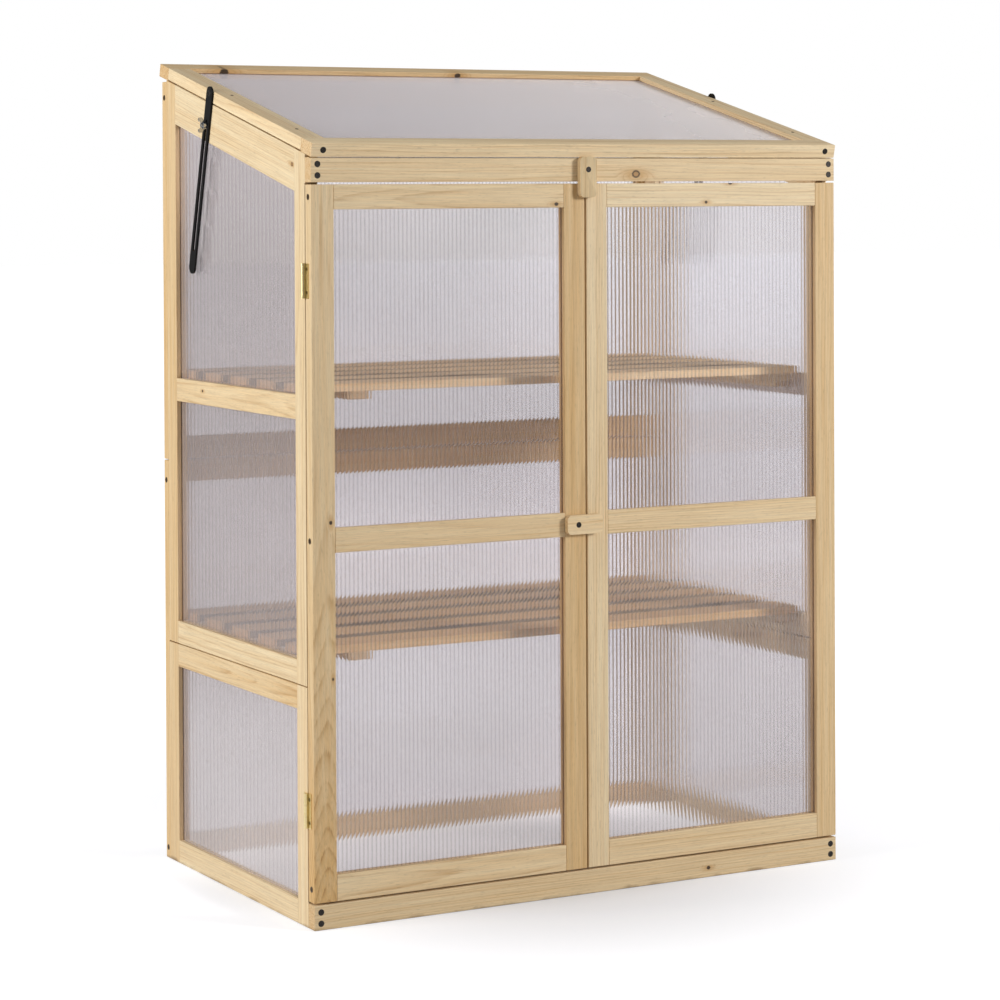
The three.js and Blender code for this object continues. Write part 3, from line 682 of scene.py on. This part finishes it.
# ------------------------------------------------------------
# Turn buttons
# Short bars of pine with well rounded corners and edges, each turning on one black screw. One holds both
# doors to the top rail, the other holds them to each other.
button_edge = 0.0014
button_corner = 0.0056
button_face = -8.35
for name, along in (("top", unit_z), ("middle", unit_x)):
    node_name = f"{name}_turn_button"
    shape = cut_from(node_name, [(at(0, button_face, 0), -unit_y)])
    bmesh.ops.dissolve_limit(shape, angle_limit=math.radians(0.6), verts=shape.verts, edges=shape.edges)
    upright = [edge for edge in shape.edges
               if abs((edge.verts[0].co - edge.verts[1].co).normalized().dot(unit_y)) > 0.99]
    bmesh.ops.bevel(shape, geom=upright, offset=button_corner, offset_type="OFFSET", segments=6, profile=0.5,
                    affect="EDGES", clamp_overlap=True)
    ease_edges(shape, button_edge, 1)
    add_stick(f"{node_name}_pine", shape, along, -unit_y, node_name, [node_name],
              look=(1.05, 0.35), eased=True)

# ------------------------------------------------------------
# Sheets
# Clear twin-wall polycarbonate, extruded and held in grooves: two thin skins joined by a rib every few
# millimetres. The skins sink a little between the ribs, so each flute is a lens that draws what stands behind
# it sideways. The side walls are seen so much aslant that their flutes are drawn at twice their width.
rib_pitch = 5.7
rib_thick = 1.3
side_rib_thick = 0.4
skin = 0.5
sink, lid_sink = 0.19, 0.05
cloud_thick = 0.3
steps_to_a_flute = 8
plastic_ior = 1.58
cloud_size = 7.0


def let_light_by(tree, shader):
    """Light on its way to a surface goes straight through, as thin sheet lets nearly all of it by."""
    shadow = add_node(tree, "LightPath", out="Is Shadow Ray")
    scattered = add_node(tree, "LightPath", out="Is Diffuse Ray")
    light = add_node(tree, "Math", {0: shadow, 1: scattered}, operation="MAXIMUM")
    straight = add_node(tree, "BsdfTransparent", {"Color": linear("#FDFCFD")})
    both = add_node(tree, "MixShader", {0: light, 1: shader.outputs["BSDF"], 2: straight})
    tree.links.new(both, tree.nodes["Material Output"].inputs["Surface"])


def clear_plastic(name, darker_tint, clear):
    """Polycarbonate that bends what shows through it, tinted darker at the lower left and lighter at the
    upper right as painted shade and light.
    """
    plastic, tree, shader = start_material(name)
    place = add_node(tree, "TexCoord", out="Object")
    haze = add_node(tree, "TexNoise", {"Vector": place, "Scale": cloud_size, "Detail": 3.0}, out="Fac")
    # Painted light and shade: the tint grows lighter towards the upper right and darker towards the lower
    # left, as the light on the sheets falls
    painted_light_rise = add_node(
        tree, "VectorMath", {0: place, 1: (0.6, 0.0, 1.0)}, operation="DOT_PRODUCT", out="Value")
    painted_light_rise = add_node(tree, "MapRange", {"Value": painted_light_rise, "From Min": 0.55, "From Max": 0.98})
    lit_share = add_node(tree, "Math", {0: haze, 1: 0.4, 2: -0.2}, operation="MULTIPLY_ADD")
    lit_share = add_node(tree, "Math", {0: lit_share, 1: painted_light_rise}, operation="ADD", use_clamp=True)
    vary(tree, shader, lit_share, (darker_tint, clear), haze, (0.0, 0.02))
    shader.inputs["IOR"].default_value = plastic_ior
    shader.inputs["Transmission Weight"].default_value = 0.98
    let_light_by(tree, shader)
    return plastic


def cloudy_plastic(name, darker_tint, clear, alpha, lightens_to_right=False):
    """Polycarbonate that hides some of what is behind it, with an uneven tint that may also grow lighter
    towards the right as painted light.
    """
    plastic, tree, shader = start_material(name)
    place = add_node(tree, "TexCoord", out="Object")
    haze = add_node(tree, "TexNoise", {"Vector": place, "Scale": cloud_size, "Detail": 3.0}, out="Fac")
    if lightens_to_right:
        # Painted light: the tint grows lighter towards the right, where more light falls on the lid
        side = add_node(tree, "SeparateXYZ", {0: place}, out="X")
        side = add_node(tree, "MapRange", {"Value": side, "From Min": -0.36, "From Max": 0.36})
        haze = add_node(tree, "Math", {0: haze, 1: 0.3, 2: -0.15}, operation="MULTIPLY_ADD")
        haze = add_node(tree, "Math", {0: haze, 1: side}, operation="ADD", use_clamp=True)
    vary(tree, shader, haze, (darker_tint, clear), haze, (0.12, 0.28))
    shader.inputs["IOR"].default_value = plastic_ior
    shader.inputs["Alpha"].default_value = alpha
    let_light_by(tree, shader)
    return plastic


# Bright and glossy, with a lilac breath: the doors and the rear wall
sheet_skin = clear_plastic("clear_polycarbonate", "#EDEAEC", "#FDFDFF")
# A shade warmer and duller: the side walls
side_skin = clear_plastic("clear_polycarbonate_side", "#E2DEDF", "#FAF8FC")
# Greyer still, as painted shade for the shaded inside seen through it: the left wall's upper sheet
shaded_grey_skin = clear_plastic("clear_polycarbonate_shade_greyed", "#D3CECE", "#DFDBDE")
# Faint grey lines, one to a rib
sheet_rib = cloudy_plastic("polycarbonate_rib", "#7A7577", "#8C8789", 0.14)
# A veil inside the left wall's lower sheet, through which the rear rail only just shows
splashed_cloud = cloudy_plastic("polycarbonate_splashed", "#C8C4C6", "#D4D0D3", 0.32)
# A thinner veil inside the other walls' sheets
rear_cloud = cloudy_plastic("polycarbonate_haze", "#DEDBDE", "#EEECF0", 0.16)
# Milky white, with no lens to it, and painted lighter towards the right: the lid's skins and its ribs
lid_skin = cloudy_plastic("polycarbonate_lid_skin", "#E6E5EC", "#FCFCFF", 0.38, True)
lid_rib = cloudy_plastic("polycarbonate_lid_rib", "#E4E2EA", "#FAFAFF", 0.38, True)


def fluted_slab(node_name, run, flute, through, pitch, depth, thick, clouded):
    """A slab the size of the CAD sheet, whose near face sinks between the ribs, and the ribs inside it."""
    corners = [vert.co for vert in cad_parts[node_name].data.vertices]
    spots = sorted({(round(place.dot(run) * 1000, 3), round(place.dot(flute) * 1000, 3))
                    for place in corners})
    depths = [place.dot(through) * 1000 for place in corners]
    near, far = min(depths), max(depths)
    begin, finish = spots[0][0], spots[-1][0]

    # The sheet's outline, as its lower and its upper side
    hull = []
    for way in (1, -1):
        side = []
        for spot in spots[::way]:
            while len(side) > 1 and (
                    (side[-1][0] - side[-2][0]) * (spot[1] - side[-2][1])
                    - (side[-1][1] - side[-2][1]) * (spot[0] - side[-2][0])) <= 0:
                side.pop()
            side.append(spot)
        hull.append(side)

    def limit(place, side):
        """Where one side of the outline lies at a place along the run."""
        for (run_a, flute_a), (run_b, flute_b) in zip(side, side[1:]):
            if abs(run_a - run_b) > 1e-3 and min(run_a, run_b) - 1e-4 <= place <= max(run_a, run_b) + 1e-4:
                return flute_a + (flute_b - flute_a) * (place - run_a) / (run_b - run_a)

    def point(place, level, deep):
        return shape.verts.new((run * place + flute * level + through * deep) / 1000)

    # The two faces, in narrow strips from one end of the run to the other
    count = int((finish - begin) / pitch)
    first = (begin + finish - count * pitch) / 2
    places = {begin, finish}
    for index in range(count):
        for step in range(steps_to_a_flute + 1):
            places.add(round(first + (index + step / steps_to_a_flute) * pitch, 4))
    places = sorted(places)
    shape = bmesh.new()
    columns = []
    for place in places:
        share = (place - first) / pitch
        inside = share - math.floor(share) - 0.5
        sunk = depth * (1 - 4 * inside * inside) if 0 <= share <= count else 0.0
        low, high = limit(place, hull[0]), limit(place, hull[1])
        columns.append([point(place, level, deep) for level in (low, high) for deep in (near + sunk, far)])
    for before, after in zip(columns, columns[1:]):
        for one, other in ((0, 2), (1, 3)):
            shape.faces.new((before[one], after[one], after[other], before[other])).smooth = True
        for one, other in ((0, 1), (2, 3)):
            shape.faces.new((before[one], after[one], after[other], before[other]))
    for column in (columns[0], columns[-1]):
        shape.faces.new((column[0], column[1], column[3], column[2]))
    for edge in shape.edges:
        if sum(face.smooth for face in edge.link_faces) < 2:
            edge.smooth = False
    for place, column in zip(places, columns):
        share = (place - first) / pitch
        if abs(share - round(share)) < 1e-3:
            ridge = shape.edges.get((column[0], column[2]))
            if ridge:
                ridge.smooth = False
    for index in range(count + 1):
        corners = []
        for place in (first + index * pitch - thick / 2, first + index * pitch + thick / 2):
            place = min(max(place, begin), finish)
            low, high = limit(place, hull[0]) + skin, limit(place, hull[1]) - skin
            corners += [point(place, level, deep)
                        for level in (low, high) for deep in (near + skin, far - skin)]
        for face in ((0, 1, 3, 2), (4, 6, 7, 5), (0, 4, 5, 1), (2, 3, 7, 6), (0, 2, 6, 4), (1, 5, 7, 3)):
            shape.faces.new([corners[number] for number in face]).material_index = 1
    if clouded:
        sheet_middle = (near + far) / 2
        ends = ((begin + skin, 0), (finish - skin, 0), (finish - skin, 1), (begin + skin, 1))
        outline = [(place, limit(place, hull[end]) + (-skin if end else skin)) for place, end in ends]
        rims = [[point(place, level, deep) for place, level in outline]
                for deep in (sheet_middle - cloud_thick / 2, sheet_middle + cloud_thick / 2)]
        join_rings(shape, rims[0], rims[1], 2)
        for rim in rims:
            shape.faces.new(rim).material_index = 2
    bmesh.ops.recalc_face_normals(shape, faces=shape.faces)
    return shape


# Each sheet: node, body, way across its flutes, way along them, way through it, and how coarse its flutes are
sheets = [
    (f"{side}_wall_{level}_sheet", "cabinet", unit_y, unit_z, unit_x, 2)
    for side in ("left", "right") for level in ("upper", "lower")
] + [
    ("rear_wall_upper_sheet", "cabinet", unit_x, unit_z, unit_y, 1),
    ("rear_wall_lower_sheet", "cabinet", unit_x, unit_z, unit_y, 1),
    ("left_door_sheet", "left_door", unit_x, unit_z, unit_y, 1),
    ("right_door_sheet", "right_door", unit_x, unit_z, unit_y, 1),
    ("lid_sheet", "lid", down_slope, unit_x, lid_up, 1),
]
sheet_looks = {sheet[0]: side_skin if sheet[5] > 1 else sheet_skin for sheet in sheets}
sheet_looks["left_wall_upper_sheet"] = shaded_grey_skin
sheet_looks["lid_sheet"] = lid_skin
for node_name, body, run, flute, through, coarseness in sheets:
    is_lid = node_name == "lid_sheet"
    cloud = rear_cloud if body == "cabinet" else None
    if node_name == "left_wall_lower_sheet":
        cloud = splashed_cloud
    shape = fluted_slab(node_name, run, flute, through, rib_pitch * coarseness, lid_sink if is_lid else sink,
                        side_rib_thick if coarseness > 1 else rib_thick, cloud)
    piece = add_piece(f"{node_name}_fluted", shape, sheet_looks[node_name], body, "twin_wall", node_name)
    piece.data.materials.append(lid_rib if is_lid else sheet_rib)
    if cloud:
        piece.data.materials.append(cloud)

# ------------------------------------------------------------
# Hinges
# Small pressed butt hinges of polished brass: two leaves, a barrel of three knuckles and a pin. One leaf is
# screwed to the wall, the other to the door or the lid.


def metal(name, low, high, smooth, rough, metallic, wear_scale):
    """A metal whose colour and shine vary a little with wear."""
    made, tree, shader = start_material(name)
    place = add_node(tree, "TexCoord", out="Object")
    wear = add_node(tree, "TexNoise", {"Vector": place, "Scale": wear_scale, "Detail": 4.0}, out="Fac")
    vary(tree, shader, wear, (low, high), wear, (smooth, rough))
    shader.inputs["Metallic"].default_value = metallic
    return made


# Yellow and bright, a little dulled in patches by handling
hinge_brass = metal("polished_brass", "#CBB378", "#F0E2B4", 0.2, 0.42, 1.0, 420.0)
hinge_leaves = [
    (f"{side}_door_{level}_hinge_{leaf}_leaf", "cabinet" if leaf == "wall" else f"{side}_door")
    for side in ("left", "right") for level in ("upper", "lower") for leaf in ("wall", "door")
] + [
    (f"{side}_lid_hinge_{leaf}_leaf", "cabinet" if leaf == "wall" else "lid")
    for side in ("left", "right") for leaf in ("wall", "lid")
]
for node_name, body in hinge_leaves:
    shape = cut_from(node_name)
    ease_edges(shape, 0.0002, 1)
    add_piece(f"{node_name}_brass", shape, hinge_brass, body, "brass", node_name)

# ------------------------------------------------------------
# Stays
# Flat steel bars with round ends, each screwed to the lid's side and slotted for its wing bolt. They are
# blackened, and so dull that hardly a highlight shows.
black_steel = metal("blackened_steel", "#060606", "#0F0F10", 0.34, 0.5, 0.0, 120.0)
black_steel.node_tree.nodes["Principled BSDF"].inputs["Specular IOR Level"].default_value = 0.16
for side in ("left", "right"):
    shape = cut_from(f"{side}_stay")
    ease_edges(shape, 0.0004)
    add_piece(f"{side}_stay_steel", shape, black_steel, f"{side}_stay", "black_steel", f"{side}_stay")

# ------------------------------------------------------------
# Wing bolts
# Zinc-plated steel bolts through the walls' top boards, each with a wing nut outside the stay. The plating is
# pale and a little blue, with small bright highlights.
zinc_steel = metal("zinc_plated_steel", "#8B8E92", "#D2D5D8", 0.08, 0.2, 1.0, 500.0)
for side in ("left", "right"):
    shape = cut_from(f"{side}_wing_bolt")
    ease_edges(shape, 0.0003, 1)
    add_piece(f"{side}_wing_bolt_zinc", shape, zinc_steel, "cabinet", "zinc_steel", f"{side}_wing_bolt")

# ------------------------------------------------------------
# Screws and nails
# Black countersunk wood screws with a cross recess join the sticks, small brass ones hold the hinges, and
# panel nails show as little brown heads.
head_sides = 28
head_depth = 0.0006


def add_screw(name, place, way, radius, rise, material, slot, body, recess, turn):
    """A screw head that stands up from a face: a rounded disc with a cross sunk in its top."""
    shape = bmesh.new()
    angles = [2 * math.pi * step / head_sides for step in range(head_sides)]
    rings = [(radius, -head_depth), (radius, rise * 0.35), (radius * 0.86, rise)]
    circles = [[shape.verts.new((ring_radius * math.cos(angle), ring_radius * math.sin(angle), level))
                for angle in angles] for ring_radius, level in rings]
    shape.faces.new(circles[0][::-1])
    for lower, upper in zip(circles, circles[1:]):
        join_rings(shape, lower, upper)
    if recess:
        arm, half = radius * 0.56, radius * 0.13
        cross = [(half, half), (half, arm), (-half, arm), (-half, half), (-arm, half), (-arm, -half),
                 (-half, -half), (-half, -arm), (half, -arm), (half, -half), (arm, -half), (arm, half)]
        brim = [shape.verts.new((x, y, rise)) for x, y in cross]
        bottom = [shape.verts.new((x * 0.8, y * 0.8, rise * 0.15)) for x, y in cross]
        join_rings(shape, brim, bottom)
        shape.faces.new(bottom)
        shape.edges.ensure_lookup_table()
        rim_edges = [shape.edges.get((ring[step - 1], ring[step]))
                     for ring in (circles[-1], brim) for step in range(len(ring))]
        bmesh.ops.triangle_fill(shape, edges=rim_edges, use_beauty=True)
    else:
        shape.faces.new(circles[-1])
    bmesh.ops.recalc_face_normals(shape, faces=shape.faces)
    stand = way.to_track_quat("Z", "Y").to_matrix().to_4x4()
    shape.transform(Matrix.Translation(place) @ stand @ Matrix.Rotation(turn, 4, "Z"))
    add_piece(name, shape, material, body, slot)


# Near black with a soft gloss, nearly black brass, and brown with a dull yellow shimmer
black_screw = metal("black_phosphated_steel", "#0F0E0E", "#2A221C", 0.3, 0.5, 0.4, 700.0)
# The hinge screws are drawn nearly black, far darker than the hinges' brass
dark_brass = metal("near_black_brass", "#3E3014", "#7D6734", 0.3, 0.5, 0.9, 900.0)
brown_screw = metal("yellow_passivated_steel", "#2C1F12", "#5A452A", 0.35, 0.55, 0.5, 900.0)
# Each kind: radius in millimetres, metal, material slot
fasteners = {
    "screw": (3.9, black_screw, "black_steel"),
    "edge screw": (3.7, brown_screw, "black_steel"),
    "button screw": (3.6, black_screw, "black_steel"),
    "pivot screw": (4.2, black_screw, "black_steel"),
    "hinge screw": (2.2, dark_brass, "brass"),
    "nail": (2.1, brown_screw, "black_steel"),
}
screw_rise = 0.0004
hinge_levels = (778.0, 142.0)
leaf_face = 1.2
stay_stands_off = 0.0029
half_lid = lid_up * 0.0085
rail_spread, hinge_spread = 6.8, 14.0
pairs = ((1, 1), (2, -1))
screws = []
for side, x in (("left", 8.7), ("right", 751.3)):
    for level, middle in (("top", 911), ("bottom", 15)):
        for number, way in pairs:
            screws.append((f"front_{level}_rail_{side}_screw_{number}", "screw",
                           at(x, 0, middle + rail_spread * way), -unit_y, "cabinet"))
lid_front = at(0, 0, 926.3) + half_lid
for side, x in (("left", 15.5), ("right", 744.5)):
    lid_end = lid_front + unit_x * x / 1000
    screws.append((f"lid_front_{side}_screw", "screw", lid_end, -down_slope, "lid"))
    for number, reach in enumerate((0.078, 0.278), 1):
        nail = lid_end + down_slope * reach + half_lid
        screws.append((f"lid_{side}_rail_nail_{number}", "nail", nail, lid_up, "lid"))
for side, x, outward in (("left", 0, -unit_x), ("right", cabinet_width, unit_x)):
    door = f"{side}_door"
    for number, level in enumerate((878.5, 466.4, 48.5), 1):
        screws.append((f"{door}_edge_screw_{number}", "edge screw", at(x, 8.3, level), outward, door))
    for number, level in enumerate((1010, 503, 14), 1):
        edge = at(x, 453, level)
        screws.append((f"{side}_rear_edge_screw_{number}", "edge screw", edge, outward, "cabinet"))
    stay_face = at(x, 296.5, 1011.1) + outward * stay_stands_off
    screws.append((f"{side}_stay_pivot_screw", "pivot screw", stay_face, outward, f"{side}_stay"))
    leaf_side = at(x, 0, 0) + outward * leaf_face / 1000
    for hinge, level in zip(("upper", "lower"), hinge_levels):
        for leaf, y, body in (("door", 10.3, door), ("wall", 23.2, "cabinet")):
            for number, way in pairs:
                place = leaf_side + Vector((0, y, level + hinge_spread * way)) / 1000
                screws.append((f"{door}_{hinge}_hinge_{leaf}_screw_{number}", "hinge screw", place, outward,
                               body))
for side, x in (("left", 140), ("right", 620)):
    for number, way in pairs:
        screws.append((f"{side}_lid_hinge_wall_screw_{number}", "hinge screw",
                       at(x + hinge_spread * way, 460 + leaf_face, 1027.6), unit_y, "cabinet"))
for name, x, level in (("top", 380, 911), ("middle", 363.75, 466.4)):
    screws.append((f"{name}_button_screw", "button screw", at(x, button_face, level), -unit_y,
                   f"{name}_turn_button"))
for name, kind, place, way, body in screws:
    radius, material, slot = fasteners[kind]
    add_screw(name, place, way, radius / 1000, screw_rise, material, slot, body, kind != "nail",
              log.uniform(0, math.pi / 2))
